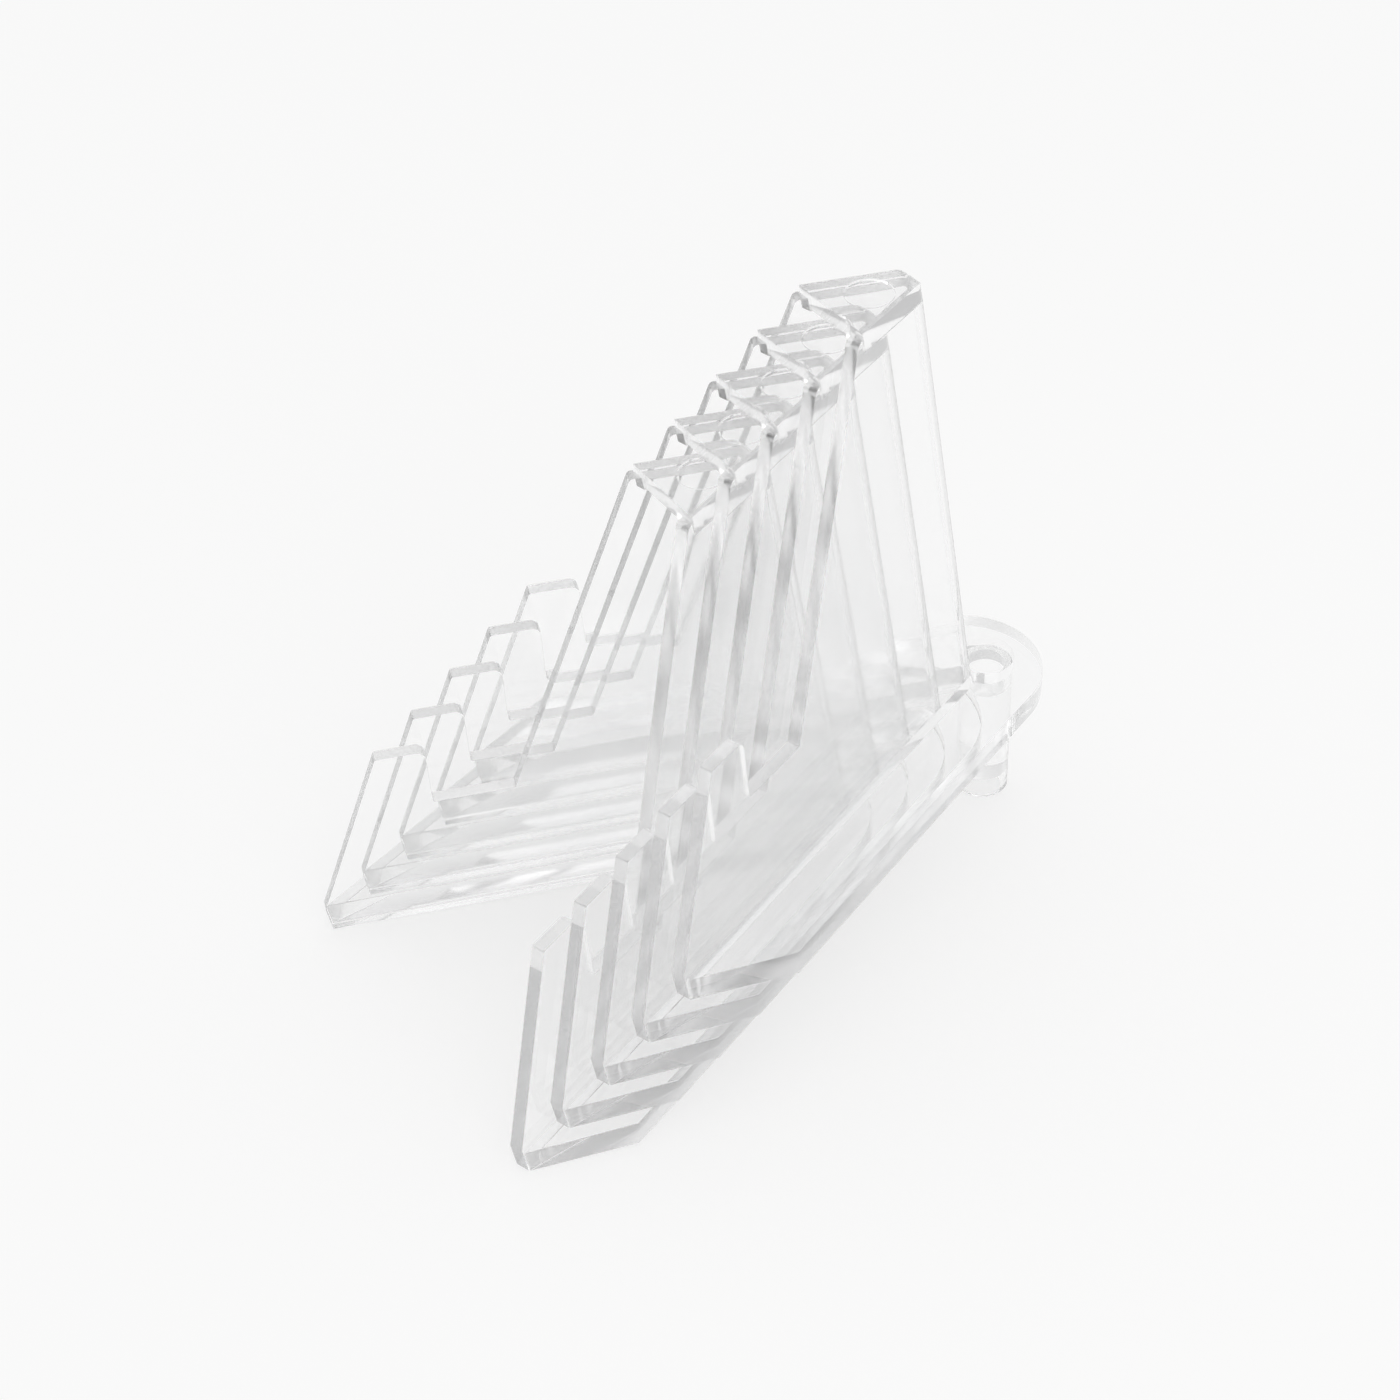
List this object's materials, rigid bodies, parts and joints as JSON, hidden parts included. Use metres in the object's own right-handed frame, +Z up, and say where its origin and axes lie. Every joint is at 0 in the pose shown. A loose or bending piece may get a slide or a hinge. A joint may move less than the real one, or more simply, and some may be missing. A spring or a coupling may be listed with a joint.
{
  "type": "nested display easel rack",
  "caption": "Clear plastic V-shaped display easels nested one behind another into a stepped rack, each with front hooks, a capped back, a flat base, and a round rear leg on the last.",
  "frame": {"origin": "on the floor under the middle of the nest, seen from above", "axes": "+Z up, -Y towards the open front of the V where things are shown, +X to the right seen from the front"},
  "size_m": [0.1002, 0.1614, 0.1481],
  "materials": {
    "clear_wall": "clear colourless polished moulded plastic",
    "clear_base": "clear colourless polished moulded plastic",
    "clear_cap": "clear colourless polished moulded plastic",
    "clear_leg": "clear colourless polished round bar"
  },
  "bodies": {
    "tier_1": {"tier_1_wall": "clear_wall", "tier_1_base": "clear_base", "tier_1_cap": "clear_cap"},
    "tier_2": {"tier_2_wall": "clear_wall", "tier_2_base": "clear_base", "tier_2_cap": "clear_cap"},
    "tier_3": {"tier_3_wall": "clear_wall", "tier_3_base": "clear_base", "tier_3_cap": "clear_cap"},
    "tier_4": {"tier_4_wall": "clear_wall", "tier_4_base": "clear_base", "tier_4_cap": "clear_cap"},
    "tier_5": {"tier_5_wall": "clear_wall", "tier_5_base": "clear_base", "tier_5_cap": "clear_cap", "rear_leg": "clear_leg"}
  },
  "joints": [
    {"name": "tier_2_lift", "type": "slide", "parent": "tier_1", "child": "tier_2", "axis": [0, -0.0512, 0.9987], "range_m": [0, 0.12]},
    {"name": "tier_3_lift", "type": "slide", "parent": "tier_2", "child": "tier_3", "axis": [0, -0.0512, 0.9987], "range_m": [0, 0.12]},
    {"name": "tier_4_lift", "type": "slide", "parent": "tier_3", "child": "tier_4", "axis": [0, -0.0512, 0.9987], "range_m": [0, 0.12]},
    {"name": "tier_5_lift", "type": "slide", "parent": "tier_4", "child": "tier_5", "axis": [0, -0.0512, 0.9987], "range_m": [0, 0.12]}
  ]
}
